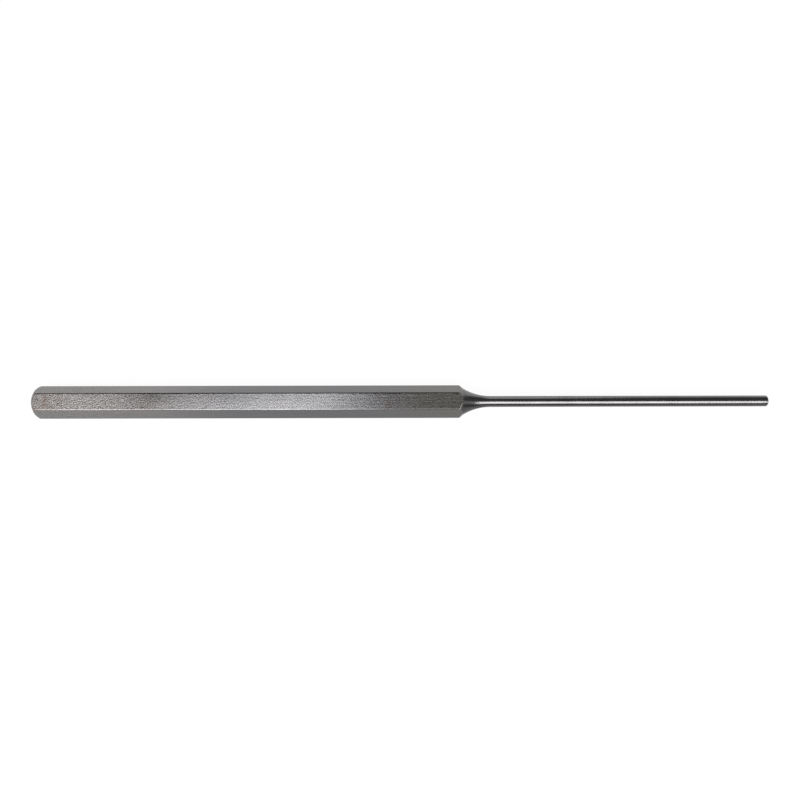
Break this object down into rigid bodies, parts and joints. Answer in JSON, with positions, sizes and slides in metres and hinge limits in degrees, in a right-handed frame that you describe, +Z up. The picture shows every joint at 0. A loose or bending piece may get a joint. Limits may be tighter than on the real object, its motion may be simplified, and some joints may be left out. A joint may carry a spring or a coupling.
{
  "type": "pin punch",
  "caption": "Long pin punch: hexagonal steel shank with a domed struck end, a turned shoulder with a hollow fillet, and a slim parallel pin with a flat tip for driving pins out of holes.",
  "frame": {"origin": "on the surface that the tool lies on, below the middle of its length, midway between its sides", "axes": "+X along the tool from the struck end to the tip, +Z up out of the flat opposite the one that it lies on"},
  "size_m": [0.2032, 0.009, 0.0079],
  "materials": {
    "tool_steel": "hardened alloy tool steel: drawn and bead-blasted on the hexagon, turned on the shoulder, ground and lightly polished on the pin"
  },
  "bodies": {
    "root": {"shank": "tool_steel", "pin": "tool_steel"}
  },
  "joints": []
}
